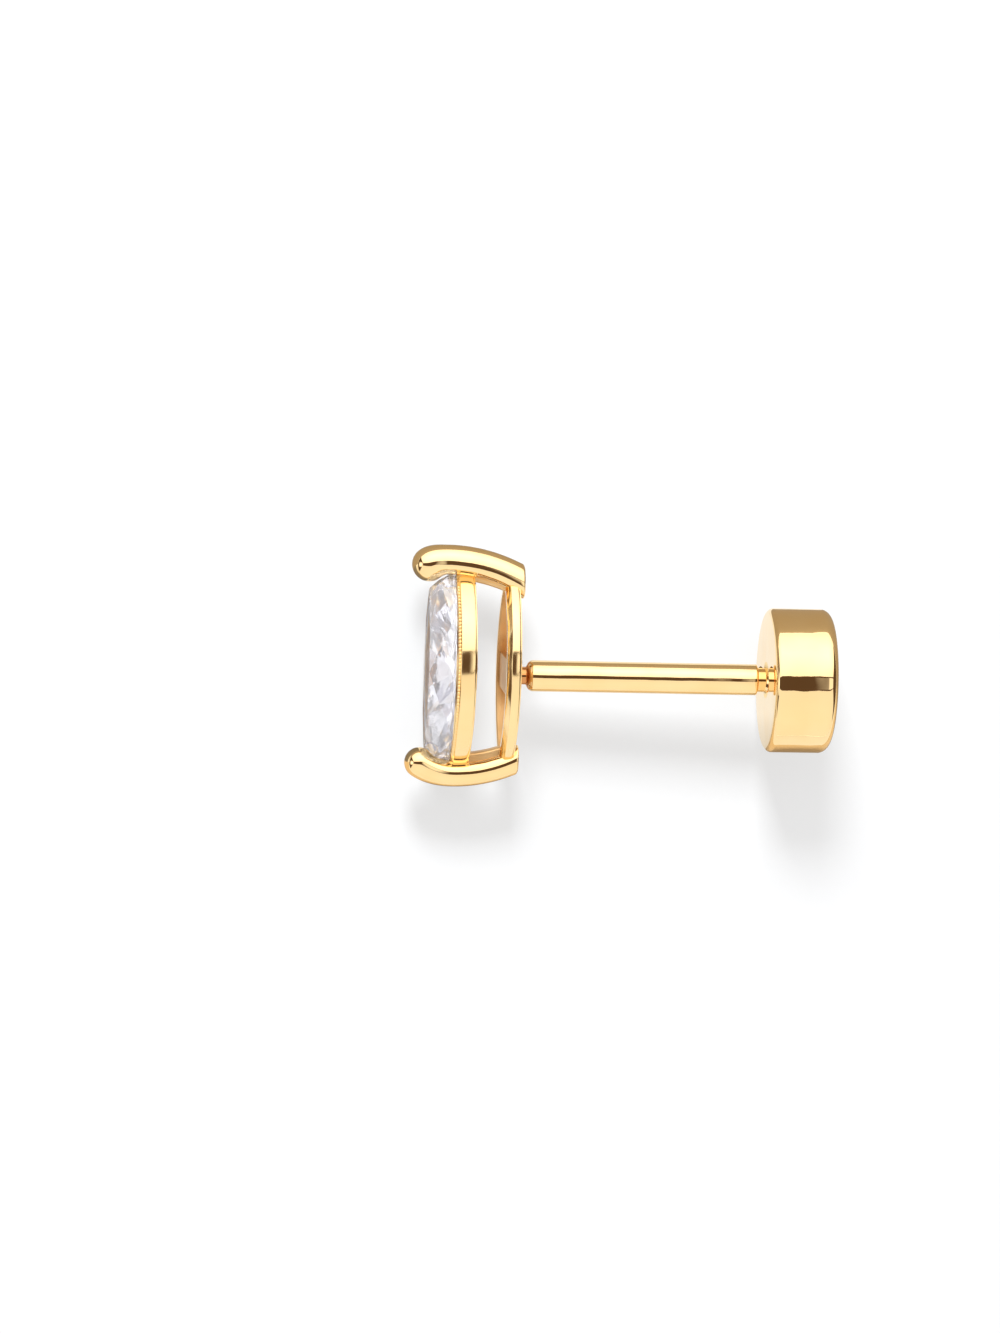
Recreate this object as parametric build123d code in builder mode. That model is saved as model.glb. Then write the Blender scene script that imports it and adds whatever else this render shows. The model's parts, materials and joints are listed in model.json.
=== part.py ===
from build123d import *
from math import asin, atan2, cos, degrees, hypot, radians, sin, sqrt, tan
import os

# A screw back stud earring: a marquise stone in a two-prong basket, a soldered post, and a thick round nut.
# Sizes are in millimetres. A station is a distance along the post from the back of the prongs, which is 0:
# the stone is at negative stations and the nut at positive ones. The stone's long axis lies along Y.
# The stud lies on its side on z = 0, where it comes to rest: the front rail's belly and the nut's rim touch.

# The stone, a marquise of the 3 by 6 size
stone_width = 3.06
stone_arc_radius = 3.70
girdle_thickness = 0.12
crown_height = 0.67
pavilion_depth = 0.84
table_width_share = 0.56
table_length_share = 0.84
star_height_share = 0.52
lower_half_share = 0.74
girdle_sink = 0.02
seat_clearance = 0.02

# The basket: two marquise rails, a bar across the back one, and a prong at each tip
rail_arc_radius = 3.70
rail_belly_angle = 5.0
rail_wall = 0.34
rail_bevel = 0.15
rail_round = 0.04
front_rail_width = 3.40
front_rail_back = -1.55
front_rail_depth = 0.65
back_rail_width = 3.30
back_rail_back = -0.15
back_rail_depth = 0.46
bar_width = 1.10
bar_thickness = 0.30
bar_recess = 0.07
prong_diameter = 0.84
web_thickness = 0.42
web_depth = 0.22
prong_overrun = 0.30
prong_end_round = 0.07
taper_steps = 3

# Each prong runs from its root at station 0, over a crest, and thickens to a ball that holds the stone's
# tip. Its places along Y are measured from the middle of the basket.
PRONGS = (
    {"side": 1, "root": 2.82, "crest_at": -2.42, "crest": 3.48, "tip_at": -2.99, "tip": 3.28, "ball": 1.08},
    {"side": -1, "root": 2.82, "crest_at": -2.03, "crest": 3.31, "tip_at": -3.08, "tip": 2.99, "ball": 0.96},
)

# The post is soldered to the bar a little off the middle of the basket.
post_offset = 0.18
post_diameter = 0.98
neck_diameter = 0.56
neck_end = 0.19
post_nose_round = 0.20
shank_end = 7.45
shank_end_round = 0.06
thread_crest_diameter = 0.88
thread_root_diameter = 0.76
thread_pitch = 0.30
thread_rings = 6
thread_end = shank_end + thread_rings * thread_pitch
thread_lead = 0.12

# The nut
nut_front = 7.75
nut_diameter = 4.52
nut_thickness = 2.00
nut_back_round = 0.36
nut_front_round = 0.07
nut_bore_diameter = 0.94
nut_bore_depth = 1.65
nut_countersink = 0.12
nut_turn = 3.75

# The pose at rest. The rounded outer corner of the front rail's bevel and the rounded rim of the nut both
# touch the floor, so the post's tilt is the slope of the line that is tangent to those two small circles.
front_rail_front = front_rail_back - front_rail_depth
corner_station = front_rail_front + rail_bevel + rail_round * tan(radians(45) / 2)
corner_radius = front_rail_width / 2 - rail_round
rim_station = nut_front + nut_front_round
rim_radius = nut_diameter / 2 - nut_front_round
run = rim_station - corner_station
rise = rim_radius - corner_radius
tilt = atan2(rise, run) + asin((nut_front_round - rail_round) / hypot(run, rise))
along = Vector(cos(tilt), 0, sin(tilt))
upward = Vector(-sin(tilt), 0, cos(tilt))

# The origin is on the floor, under the middle of the whole stud.
axis_height = corner_radius * cos(tilt) - corner_station * sin(tilt) + rail_round
stud_front = min(row["tip_at"] - row["ball"] / 2 for row in PRONGS)
stud_back = nut_front + nut_thickness
basket_middle = -sum(row["side"] * row["crest"] for row in PRONGS) / 2
basket_foot = Vector(-(stud_front + stud_back) / 2 * cos(tilt), basket_middle, axis_height)
post_foot = basket_foot - Vector(0, post_offset, 0)
post_axis = Axis(post_foot, along)


# A plane square to the post: its x is row Y, along the stone, and its y is the way across the stone.
def square_plane(foot, station):
    return Plane(origin=foot + along * station, x_dir=(0, 1, 0), z_dir=along)


# The plane through both prongs: its x is the station and its y is row Y.
lengthwise = Plane(origin=basket_foot, x_dir=along, z_dir=upward)

# The upright plane through the post: its x is the station and its y is the distance from the post's axis.
upright = Plane(origin=post_foot, x_dir=along, z_dir=(0, -1, 0))


# Half the length of a marquise outline, which is two arcs that meet at its tips
def half_length(half_width, arc_radius):
    return sqrt(arc_radius**2 - (arc_radius - half_width) ** 2)


# A point of a marquise outline: turn is how far round it lies, 0 at one tip, 2 and 6 at the bellies, up to 8
def outline_point(turn, half_width, arc_radius, height):
    tip_angle = asin(half_length(half_width, arc_radius) / arc_radius)
    side = 1 if turn < 4 else -1
    angle = side * tip_angle * (1 - (turn % 4) / 2)
    return Vector(
        arc_radius * sin(angle),
        side * (arc_radius * cos(angle) - (arc_radius - half_width)),
        height,
    )


# Where two facets meet at one height
def meeting_point(one, other, height):
    a, b = one.z_dir, other.z_dir
    a_sum = a.dot(one.origin) - a.Z * height
    b_sum = b.dot(other.origin) - b.Z * height
    scale = a.X * b.Y - a.Y * b.X
    return Vector((a_sum * b.Y - b_sum * a.Y) / scale, (a.X * b_sum - b.X * a_sum) / scale, height)


# The flat through three points, facing away from the stone's middle
def facet(first, second, third):
    normal = (second - first).cross(third - first).normalized()
    if normal.dot(first) < 0:
        normal = -normal
    return Plane(origin=first, z_dir=normal)


# The facets of one side of the stone. Each of the 8 mains aims at one of the points in aims, and
# meet_height is where neighbouring mains and the halves between them meet.
def facets_of_side(half_width, arc_radius, girdle_height, aims, meet_height):
    rim = [outline_point(n / 2, half_width, arc_radius, girdle_height) for n in range(16)]
    mains = []
    for n, aim in enumerate(aims):
        tangent = rim[(2 * n + 1) % 16] - rim[2 * n - 1]
        mains.append(facet(rim[2 * n], rim[2 * n] + tangent, aim))
    meets = [meeting_point(mains[n], mains[(n + 1) % 8], meet_height) for n in range(8)]
    halves = []
    for n, meet in enumerate(meets):
        halves.append(facet(rim[2 * n], rim[2 * n + 1], meet))
        halves.append(facet(rim[2 * n + 1], rim[(2 * n + 2) % 16], meet))
    return mains, halves, meets


# The marquise brilliant, cut from a blank by one plane a facet. clearance grows it for the seat it lies in.
def cut_marquise(clearance):
    half_width = stone_width / 2 + clearance
    arc_radius = stone_arc_radius + clearance
    length = half_length(half_width, arc_radius)
    girdle = girdle_thickness / 2 + clearance
    table = girdle_thickness / 2 + crown_height + clearance
    culet = -(girdle_thickness / 2 + pavilion_depth + clearance)
    table_corners = []
    for n in range(8):
        corner = outline_point(n, half_width, arc_radius, table)
        table_corners.append(Vector(corner.X * table_length_share, corner.Y * table_width_share, table))
    star_height = girdle + star_height_share * (table - girdle)
    crown_mains, crown_halves, crown_meets = facets_of_side(
        half_width, arc_radius, girdle, table_corners, star_height
    )
    stars = [facet(table_corners[n], table_corners[(n + 1) % 8], crown_meets[n]) for n in range(8)]
    half_depth = -girdle + lower_half_share * (culet + girdle)
    pavilion_mains, pavilion_halves, _ = facets_of_side(
        half_width, arc_radius, -girdle, [Vector(0, 0, culet)] * 8, half_depth
    )
    with BuildPart() as cut:
        with BuildSketch(Plane.XY.offset(culet)):
            with BuildLine():
                ThreePointArc((-length, 0), (0, half_width), (length, 0))
                ThreePointArc((length, 0), (0, -half_width), (-length, 0))
            make_face()
        extrude(amount=table - culet)
        for flat in crown_mains + crown_halves + stars + pavilion_mains + pavilion_halves:
            split(bisect_by=flat, keep=Keep.BOTTOM)
    return cut.part


# The stone's own Z, from culet to table, points out of the front of the basket.
stone_plane = Plane(
    origin=basket_foot + along * (front_rail_front + girdle_sink - girdle_thickness / 2),
    x_dir=(0, 1, 0),
    z_dir=-along,
)

with BuildPart() as stone:
    add(stone_plane.location * cut_marquise(0))


# One marquise rail: two bowed strips, bevelled along their outer front edge, that meet inside the prongs.
# A strip is one arc drawn in three stretches: the short middle one is its belly. Its outer edges are round.
def marquise_rail(back, depth, width):
    middle = square_plane(basket_foot, back - depth / 2)
    half_width = (width - rail_wall) / 2
    arc_radius = rail_arc_radius - rail_wall / 2
    tip_angle = degrees(asin(half_length(half_width, arc_radius) / arc_radius))
    stops = (-tip_angle, -rail_belly_angle / 2, rail_belly_angle / 2, tip_angle)
    with BuildPart() as rail:
        for side in (1, -1):
            centre = (0, side * (half_width - arc_radius))
            with BuildLine(middle) as strip:
                for start, stop in zip(stops, stops[1:]):
                    CenterArc(centre, arc_radius, side * 90 + start, stop - start)
            with BuildSketch(Plane(origin=strip.line @ 0, x_dir=along, z_dir=strip.line % 0)) as section:
                Rectangle(depth, rail_wall)
                chamfer(section.vertices().sort_by(Axis.X)[:2].sort_by(Axis.Y)[-1], rail_bevel)
                fillet(section.vertices().sort_by(Axis.Y)[-3:], rail_round)
            sweep(path=strip.line)
    return rail.part


# The radius of an arc that leaves a crest level and has fallen by drop after run
def bow_radius(run, drop):
    return (run**2 + drop**2) / (2 * drop)


# One prong: a wire over its crest, cut flat at the root, that swells to a ball at its tip
def prong(side, root, crest_at, crest, tip_at, tip, ball):
    root_radius = bow_radius(-crest_at, crest - root)
    root_turn = degrees(asin((prong_overrun - crest_at) / root_radius))
    tip_radius = bow_radius(crest_at - tip_at, crest - tip)
    tip_turn = degrees(asin((crest_at - tip_at) / tip_radius))
    with BuildPart() as wire:
        with BuildLine(lengthwise) as back_bow:
            JernArc((crest_at, side * crest), (1, 0), root_radius, -side * root_turn)
        with BuildSketch(Plane(origin=back_bow.line @ 0, z_dir=back_bow.line % 0)):
            Circle(prong_diameter / 2)
        sweep(path=back_bow.line)
        split(bisect_by=square_plane(basket_foot, 0), keep=Keep.BOTTOM)
        fillet(wire.faces().sort_by(post_axis)[-1].edges(), prong_end_round)
        with BuildLine(lengthwise) as tip_bow:
            JernArc((crest_at, side * crest), (-1, 0), tip_radius, side * tip_turn)
        for step in range(taper_steps + 1):
            share = step / taper_steps
            swell = (3 - 2 * share) * share**2
            with BuildSketch(Plane(origin=tip_bow.line @ share, z_dir=tip_bow.line % share)):
                Circle(((1 - swell) * prong_diameter + swell * ball) / 2)
        loft()
        with Locations(Plane(origin=tip_bow.line @ 1, z_dir=tip_bow.line % 1)):
            Sphere(ball / 2, arc_size1=0, align=(Align.CENTER, Align.CENTER, Align.MIN))
    return wire.part


# The thin web inside a prong, from the back rail to the front one
def prong_web(side, root, crest_at, crest):
    radius = bow_radius(-crest_at, crest - root)
    inset = prong_diameter / 2 + web_depth
    ends = (back_rail_back - rail_bevel, front_rail_front + rail_bevel)
    outer = [(end, side * (crest - radius + sqrt(radius**2 - (end - crest_at) ** 2))) for end in ends]
    inner = [(x, y - side * inset) for x, y in reversed(outer)]
    with BuildPart() as web:
        with BuildSketch(lengthwise):
            with BuildLine():
                Polyline(*outer, *inner, close=True)
            make_face()
        extrude(amount=web_thickness / 2, both=True)
    return web.part


# The outline of the threaded end: a V-shaped ring a pitch, and a lead at the tip
def thread_outline():
    crest, root = thread_crest_diameter / 2, thread_root_diameter / 2
    points = [(shank_end, root)]
    for n in range(thread_rings):
        points.append((shank_end + (n + 1 / 2) * thread_pitch, crest))
        points.append((shank_end + (n + 1) * thread_pitch, root))
    points[-1] = (thread_end, root - thread_lead)
    return points


# The post: a narrow neck at the solder, the plain shank, and the threaded end
def turned_post():
    neck, shank = neck_diameter / 2, post_diameter / 2
    start = back_rail_back - bar_recess - bar_thickness / 2
    nose = (neck_end + post_nose_round, shank)
    with BuildPart() as post:
        with BuildSketch(upright):
            with BuildLine():
                Polyline((thread_end, 0), (start, 0), (start, neck), (neck_end, neck))
                Line((neck_end, neck), (neck_end, shank - post_nose_round))
                RadiusArc((neck_end, shank - post_nose_round), nose, post_nose_round)
                Polyline(
                    nose,
                    (shank_end - shank_end_round, shank),
                    (shank_end, shank - shank_end_round),
                    *thread_outline(),
                    (thread_end, 0),
                )
            make_face()
        revolve(axis=post_axis)
    return post.part


with BuildPart() as setting:
    add(marquise_rail(back_rail_back, back_rail_depth, back_rail_width))
    add(marquise_rail(front_rail_back, front_rail_depth, front_rail_width))
    with BuildSketch(square_plane(post_foot, back_rail_back - bar_recess)):
        Rectangle(bar_width, back_rail_width - rail_wall)
    extrude(amount=-bar_thickness)
    for row in PRONGS:
        add(prong_web(row["side"], row["root"], row["crest_at"], row["crest"]))
        add(prong(**row))
    add(turned_post())
    add(stone_plane.location * cut_marquise(seat_clearance), mode=Mode.SUBTRACT)

# The nut: a thick disc with a large round on its back edge and a blind hole in its front.
# nut_turn is how far it is screwed round from the level, in degrees.
nut_plane = square_plane(post_foot, nut_front) * Rotation(0, 0, nut_turn)
with BuildPart() as nut:
    with BuildSketch(nut_plane):
        Circle(nut_diameter / 2)
    extrude(amount=nut_thickness)
    rims = nut.edges().filter_by(GeomType.CIRCLE).sort_by(post_axis)
    fillet(rims[0], nut_front_round)
    fillet(rims[-1], nut_back_round)
    with BuildSketch(nut_plane):
        Circle(nut_bore_diameter / 2)
    extrude(amount=nut_bore_depth, mode=Mode.SUBTRACT)
    front_face = nut.faces().filter_by(GeomType.PLANE).sort_by(post_axis)[0]
    chamfer(front_face.inner_wires()[0].edges(), nut_countersink)

os.makedirs("parts", exist_ok=True)
for name, piece in (("stone", stone), ("setting", setting), ("screw_nut", nut)):
    piece.part.label = name
    export_step(piece.part, f"parts/{name}.step")

print("tilt of the post, degrees:", round(degrees(tilt), 4))
print("post axis at station 0:", post_foot)
print("basket's middle at station 0:", basket_foot)
print("middle of the plain shank:", post_foot + along * (neck_end + post_nose_round + shank_end) / 2)
print("middle of the nut's back face:", post_foot + along * stud_back)
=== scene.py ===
import bmesh
import bpy
import json
from math import asin, cos, pi, radians, sin, sqrt
from mathutils import Matrix, Vector


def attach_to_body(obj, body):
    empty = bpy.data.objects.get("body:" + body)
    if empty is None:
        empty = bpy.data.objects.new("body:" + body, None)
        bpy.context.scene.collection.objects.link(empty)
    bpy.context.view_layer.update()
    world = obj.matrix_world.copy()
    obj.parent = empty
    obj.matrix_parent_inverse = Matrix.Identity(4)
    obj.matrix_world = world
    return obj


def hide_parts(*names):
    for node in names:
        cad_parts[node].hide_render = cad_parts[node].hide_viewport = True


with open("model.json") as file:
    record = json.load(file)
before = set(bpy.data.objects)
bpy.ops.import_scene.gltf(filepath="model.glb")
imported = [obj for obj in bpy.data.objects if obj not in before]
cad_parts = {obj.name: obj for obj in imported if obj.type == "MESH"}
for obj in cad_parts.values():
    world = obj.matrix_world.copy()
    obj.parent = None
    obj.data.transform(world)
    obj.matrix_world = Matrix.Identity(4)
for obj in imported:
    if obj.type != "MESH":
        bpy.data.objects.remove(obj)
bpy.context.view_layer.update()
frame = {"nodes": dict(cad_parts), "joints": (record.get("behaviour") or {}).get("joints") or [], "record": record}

bl_info = {
    "name": "Screw back stud earring",
    "version": (1, 0, 0),
    "blender": (4, 5, 0),
    "location": "3D View > Sidebar > Stud",
    "description": "Dresses the frame of a marquise stud earring with a screw back, piece by piece",
    "category": "Add Mesh",
}

MM = 0.001
STUD_BODY = "stud"
NUT_BODY = "screw_back"

# Edges that turn by more than CREASE, in degrees, stay sharp, and none do at ALL_SMOOTH. Points closer than
# MERGE_DISTANCE become one, and places that differ by less than TOLERANCE count as the same.
CREASE = 28
ALL_SMOOTH = 180
MERGE_DISTANCE = MM / 10000
TOLERANCE = MM / 1000


# The frame's own lines: the post's axis, the stone's long axis, and the way across both
def mount(name):
    return next(row for row in frame["record"]["mounts"] if row["name"] == name)


ALONG = Vector(frame["joints"][0]["axis"]).normalized()
ACROSS = Vector((0, 1, 0))
UPWARD = ALONG.cross(ACROSS)

# A station is a distance along the post from the back of the prongs, which is 0.
PIN_MIDDLE_STATION = 3.89 * MM
POST_FOOT = Vector(mount("ear_post")["pos_m"]) - ALONG * PIN_MIDDLE_STATION
BASKET_OFFSET = 0.18 * MM
BASKET_FOOT = POST_FOOT + ACROSS * BASKET_OFFSET


def length(name, description, millimetres):
    """A length property whose default is given in millimetres"""
    return bpy.props.FloatProperty(
        name=name, description=description, default=millimetres * MM, min=0, precision=6, unit="LENGTH"
    )


def station(name, description, millimetres):
    """A place along the post, which may lie in front of the back of the prongs"""
    return bpy.props.FloatProperty(
        name=name, description=description, default=millimetres * MM, precision=6, unit="LENGTH"
    )


def colour(name, description, value):
    """A linear colour property"""
    return bpy.props.FloatVectorProperty(
        name=name, description=description, default=value, size=3, min=0, max=1, subtype="COLOR"
    )


def amount(name, description, value, most=1.0):
    """A plain number property"""
    return bpy.props.FloatProperty(name=name, description=description, default=value, min=0, max=most)


class StudBasketSizes(bpy.types.PropertyGroup):
    """Sizes of the open basket that holds the stone"""

    outer_radius: length("Rail radius", "Radius of a rail's outer arc", 3.70)
    wall: length("Rail wall", "Thickness of a rail's wall", 0.34)
    bevel: length("Bevel", "Width of the bevel along a rail's outer front edge", 0.15)
    rounding: length("Edge round", "Radius that polishing leaves on a rail's edges", 0.04)
    worn_edge: length("Worn edge", "Larger radius worn onto a rail's outer back edge by the wheel", 0.11)
    front_back: station("Front rail back", "Station of the front rail's back edge", -1.55)
    front_depth: length("Front rail depth", "Depth of the front rail along the post", 0.65)
    front_width: length("Front rail width", "Width of the front rail across its belly", 3.40)
    rear_back: station("Back rail back", "Station of the back rail's back edge", -0.15)
    rear_depth: length("Back rail depth", "Depth of the back rail along the post", 0.46)
    rear_width: length("Back rail width", "Width of the back rail across its belly", 3.30)
    bar_width: length("Bar width", "Width of the bar across the back rail", 1.10)
    bar_thickness: length("Bar thickness", "Thickness of the bar", 0.30)
    bar_recess: length("Bar recess", "How far the bar lies in front of the rail's back edge", 0.07)
    stone_width: length("Stone width", "Width of the marquise stone", 3.06)
    stone_radius: length("Stone radius", "Radius of the stone's arcs", 3.70)
    bead: length("Bead", "Diameter of a bead along the front rail's lip", 0.125)
    bead_pitch: length("Bead pitch", "Distance from one bead to the next", 0.115)


class StudProngSizes(bpy.types.PropertyGroup):
    """Sizes of the two prongs"""

    wire: length("Wire", "Diameter of a prong's wire", 0.84)
    end_round: length("End round", "Radius on the edge of a prong's cut end", 0.07)
    web_thickness: length("Web thickness", "Thickness of the web inside a prong", 0.42)
    web_depth: length("Web depth", "How far the web stands out of the wire", 0.22)
    root: length("Root", "Distance of a prong's root from the basket's middle", 2.82)
    upper_crest: length("Upper crest", "Distance of the upper prong's crest", 3.48)
    upper_crest_at: station("Upper crest station", "Station of the upper prong's crest", -2.42)
    upper_tip: length("Upper tip", "Distance of the upper prong's ball", 3.28)
    upper_tip_at: station("Upper tip station", "Station of the upper prong's ball", -2.99)
    upper_ball: length("Upper ball", "Diameter of the upper prong's ball", 1.08)
    upper_sink: length("Upper sink", "How far inward the ridge of the upper, egg-shaped prong lies", 0.16)
    lower_crest: length("Lower crest", "Distance of the lower prong's crest", 3.31)
    lower_crest_at: station("Lower crest station", "Station of the lower prong's crest", -2.03)
    lower_tip: length("Lower tip", "Distance of the lower prong's ball", 2.99)
    lower_tip_at: station("Lower tip station", "Station of the lower prong's ball", -3.08)
    lower_ball: length("Lower ball", "Diameter of the lower prong's ball", 0.96)


class StudPostSizes(bpy.types.PropertyGroup):
    """Sizes of the post, its thread and the nut"""

    diameter: length("Post diameter", "Diameter of the plain post", 0.98)
    neck: length("Neck", "Diameter of the neck at the solder", 0.56)
    neck_end: length("Neck end", "Station where the neck ends", 0.19)
    nose_round: length("Nose round", "Radius of the post's round shoulder", 0.20)
    shank_end: length("Shank end", "Station where the plain shank ends", 7.45)
    shank_round: length("Shank round", "Radius on the shank's end", 0.06)
    crest: length("Thread crest", "Diameter over the thread's crests", 0.88)
    groove: length("Thread groove", "Diameter in the thread's grooves", 0.76)
    pitch: length("Pitch", "Distance from one turn of the thread to the next", 0.30)
    thread_end: length("Thread end", "Station of the post's tip", 9.25)
    nut_front: length("Nut front", "Station of the nut's front face", 7.75)
    nut_diameter: length("Nut diameter", "Diameter of the nut", 4.52)
    nut_thickness: length("Nut thickness", "Thickness of the nut", 2.00)
    nut_back_round: length("Nut back round", "Radius of the nut's back edge", 0.36)
    nut_front_round: length("Nut front round", "Radius of the nut's front edge", 0.20)
    bore: length("Bore", "Diameter of the nut's blind hole", 0.94)
    bore_depth: length("Bore depth", "Depth of the nut's blind hole", 1.65)
    countersink: length("Countersink", "Width of the chamfer at the mouth of the hole", 0.12)


class StudFinish(bpy.types.PropertyGroup):
    """Colours and polish"""

    gold: colour("Gold", "Colour of the polished gold", (0.98, 0.74, 0.385))
    deep_gold: colour("Deep gold", "Colour of the gold where the plating is deeper", (0.96, 0.70, 0.34))
    polish: amount("Polish", "Roughness of the best polished gold", 0.02)
    haze: amount("Haze", "Roughness where the polish is slightly hazed", 0.06)
    rail_polish: amount("Rail polish", "Roughness of the rails, which are polished by hand", 0.10)
    cast: amount("Cast", "Roughness of the inner walls and the beaded bevel, which are left as cast", 0.40)
    brown_gold: colour("Brown gold", "Deeper tone of the gold that is left as cast", (0.66, 0.39, 0.16))
    cast_gold: colour("Cast gold", "Lighter tone of the gold that is left as cast", (0.88, 0.61, 0.30))
    # Painted shade: solder darkens the gold round the soldered joint, for the rail's shade on the post's neck
    solder: colour("Solder", "Colour of the gold round the soldered joint", (0.62, 0.28, 0.10))
    stone: colour("Stone", "Tint of the clear stone", (0.94, 0.94, 0.985))
    stone_index: amount("Stone index", "Refractive index of the stone", 2.15, 3.0)


SIZE_GROUPS = {
    "stud_basket": StudBasketSizes,
    "stud_prong": StudProngSizes,
    "stud_post": StudPostSizes,
    "stud_finish": StudFinish,
}


# Mesh making. A ring is a closed loop of points, and a skin joins a row of rings into one closed surface.
def stud_point(foot, along, across, up):
    return foot + ALONG * along + ACROSS * across + UPWARD * up


def skin(mesh, rings, end_caps=True, finishes=None):
    """Joins rings into a closed surface; finishes gives some of a ring's sides a material's number"""
    finishes = finishes or {}
    loops = [[mesh.verts.new(point) for point in ring] for ring in rings]
    count = len(loops[0])
    for one, other in zip(loops, loops[1:]):
        for n in range(count):
            m = (n + 1) % count
            face = mesh.faces.new((one[n], one[m], other[m], other[n]))
            face.material_index = finishes.get(n, 0)
    if end_caps:
        mesh.faces.new(list(reversed(loops[0])))
        mesh.faces.new(loops[-1])


def turned(mesh, foot, outline, segments):
    """A solid of revolution about the post's axis: outline is (station, radius) from pole to pole"""
    middle = [(place, radius) for place, radius in outline if radius > 0]
    rings = []
    for place, radius in middle:
        turns = [2 * pi * n / segments for n in range(segments)]
        rings.append([stud_point(foot, place, radius * cos(t), radius * sin(t)) for t in turns])
    skin(mesh, rings, end_caps=False)
    mesh.verts.ensure_lookup_table()
    for ring_start, place in ((0, outline[0][0]), (len(mesh.verts) - segments, outline[-1][0])):
        pole = mesh.verts.new(stud_point(foot, place, 0, 0))
        mesh.verts.ensure_lookup_table()
        for n in range(segments):
            one, other = mesh.verts[ring_start + n], mesh.verts[ring_start + (n + 1) % segments]
            mesh.faces.new((pole, one, other))


def rounded(corners, steps):
    """An open or closed outline with round corners: each corner is (x, y, radius)"""
    points = []
    for n, (x, y, radius) in enumerate(corners):
        here = Vector((x, y))
        if radius == 0:
            points.append(here)
            continue
        back = (Vector(corners[n - 1][:2]) - here).normalized()
        onward = (Vector(corners[(n + 1) % len(corners)][:2]) - here).normalized()
        half = back.angle(onward) / 2
        centre = here + (back + onward).normalized() * (radius / sin(half))
        reach = radius / (sin(half) / cos(half))
        first = here + back * reach - centre
        last = here + onward * reach - centre
        for step in range(steps + 1):
            share = step / steps
            turn = first.angle(last)
            ray = (first * sin((1 - share) * turn) + last * sin(share * turn)) / sin(turn)
            points.append(centre + ray)
    return points


def finish_piece(mesh, name, body, materials):
    """Closes a mesh up as a named piece that rides on a body and wears one or two materials"""
    bmesh.ops.remove_doubles(mesh, verts=mesh.verts, dist=MERGE_DISTANCE)
    bmesh.ops.recalc_face_normals(mesh, faces=mesh.faces)
    data = bpy.data.meshes.new(name)
    mesh.to_mesh(data)
    mesh.free()
    dress(data, materials, CREASE)
    piece = bpy.data.objects.new(name, data)
    bpy.context.scene.collection.objects.link(piece)
    return attach(piece, body)


def dress(data, materials, crease):
    """Puts materials on a mesh and shades it smooth, but for the edges that turn by more than crease"""
    for material in materials:
        data.materials.append(material)
    data.polygons.foreach_set("use_smooth", [True] * len(data.polygons))
    data.set_sharp_from_angle(angle=radians(crease))


def attach(piece, body):
    """Lets a piece ride on its body in place of that body's metal"""
    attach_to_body(piece, body)
    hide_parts("setting" if body == STUD_BODY else "screw_nut")
    return piece


# Materials. The bumps are a slow swell left by polishing, fine scratches, and the coarser skin of cast gold.
# Hazed gold is rougher by a factor, and painted shade at the soldered joint fades from core to edge.
SWELL = 0.022 * MM
SCRATCH = 0.0003 * MM
CAST_SWELL = 0.040 * MM
CAST_GRAIN = 0.008 * MM
RAIL_HAZE = 1.5
CAST_HAZE = 1.3
JOINT_SHADE_CORE = 0.34 * MM
JOINT_SHADE_EDGE = 0.62 * MM


def material_of(name, build):
    """The material of that name, which build makes from a new node tree the first time"""
    made = bpy.data.materials.get(name)
    if made is None:
        made = bpy.data.materials.new(name)
        made.use_nodes = True
        build(made.node_tree)
    return made


def noise_in_millimetres(tree, scale, detail, stretch=(1, 1, 1)):
    """A noise whose scale is in waves a millimetre on the piece's own coordinates"""
    place = tree.nodes.new("ShaderNodeTexCoord")
    mapping = tree.nodes.new("ShaderNodeMapping")
    mapping.inputs["Scale"].default_value = [s / MM for s in stretch]
    noise = tree.nodes.new("ShaderNodeTexNoise")
    noise.inputs["Scale"].default_value = scale
    noise.inputs["Detail"].default_value = detail
    tree.links.new(place.outputs["Object"], mapping.inputs["Vector"])
    tree.links.new(mapping.outputs["Vector"], noise.inputs["Vector"])
    return noise


def ramp_between(tree, source, low, high, at_low, at_high):
    """A value that goes from at_low to at_high while the source goes from low to high"""
    span = tree.nodes.new("ShaderNodeMapRange")
    span.inputs["From Min"].default_value = low
    span.inputs["From Max"].default_value = high
    span.inputs["To Min"].default_value = at_low
    span.inputs["To Max"].default_value = at_high
    tree.links.new(source, span.inputs["Value"])
    return span.outputs["Result"]


def build_gold(tree, tones, roughness, swell_height, scratch_height):
    """Plated gold: two tones, a polish that hazes in places, a slow swell and fine scratches"""
    shader = tree.nodes["Principled BSDF"]
    shader.inputs["Metallic"].default_value = 1.0
    plating = noise_in_millimetres(tree, scale=0.7, detail=2)
    patches = ramp_between(tree, plating.outputs["Fac"], low=0.35, high=0.65, at_low=0, at_high=1)
    tone = mixed(tree, patches, *tones)
    # Painted shade: gold turns to the solder colour round the joint, where the rail shades the post's neck
    joint_shaded = mixed(tree, painted_joint_shade(tree), None, bpy.context.scene.stud_finish.solder)
    tree.links.new(tone.outputs["Result"], joint_shaded.inputs["A"])
    tree.links.new(joint_shaded.outputs["Result"], shader.inputs["Base Color"])
    haze = noise_in_millimetres(tree, scale=2.5, detail=4)
    polish = ramp_between(tree, haze.outputs["Fac"], 0.45, 0.75, *roughness)
    tree.links.new(polish, shader.inputs["Roughness"])
    swell = noise_in_millimetres(tree, scale=0.9, detail=1)
    scratch = noise_in_millimetres(tree, scale=14, detail=3, stretch=(0.25, 1, 1))
    broad = bump(tree, swell.outputs["Fac"], swell_height)
    fine = bump(tree, scratch.outputs["Fac"], scratch_height)
    tree.links.new(broad.outputs["Normal"], fine.inputs["Normal"])
    tree.links.new(fine.outputs["Normal"], shader.inputs["Normal"])


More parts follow.
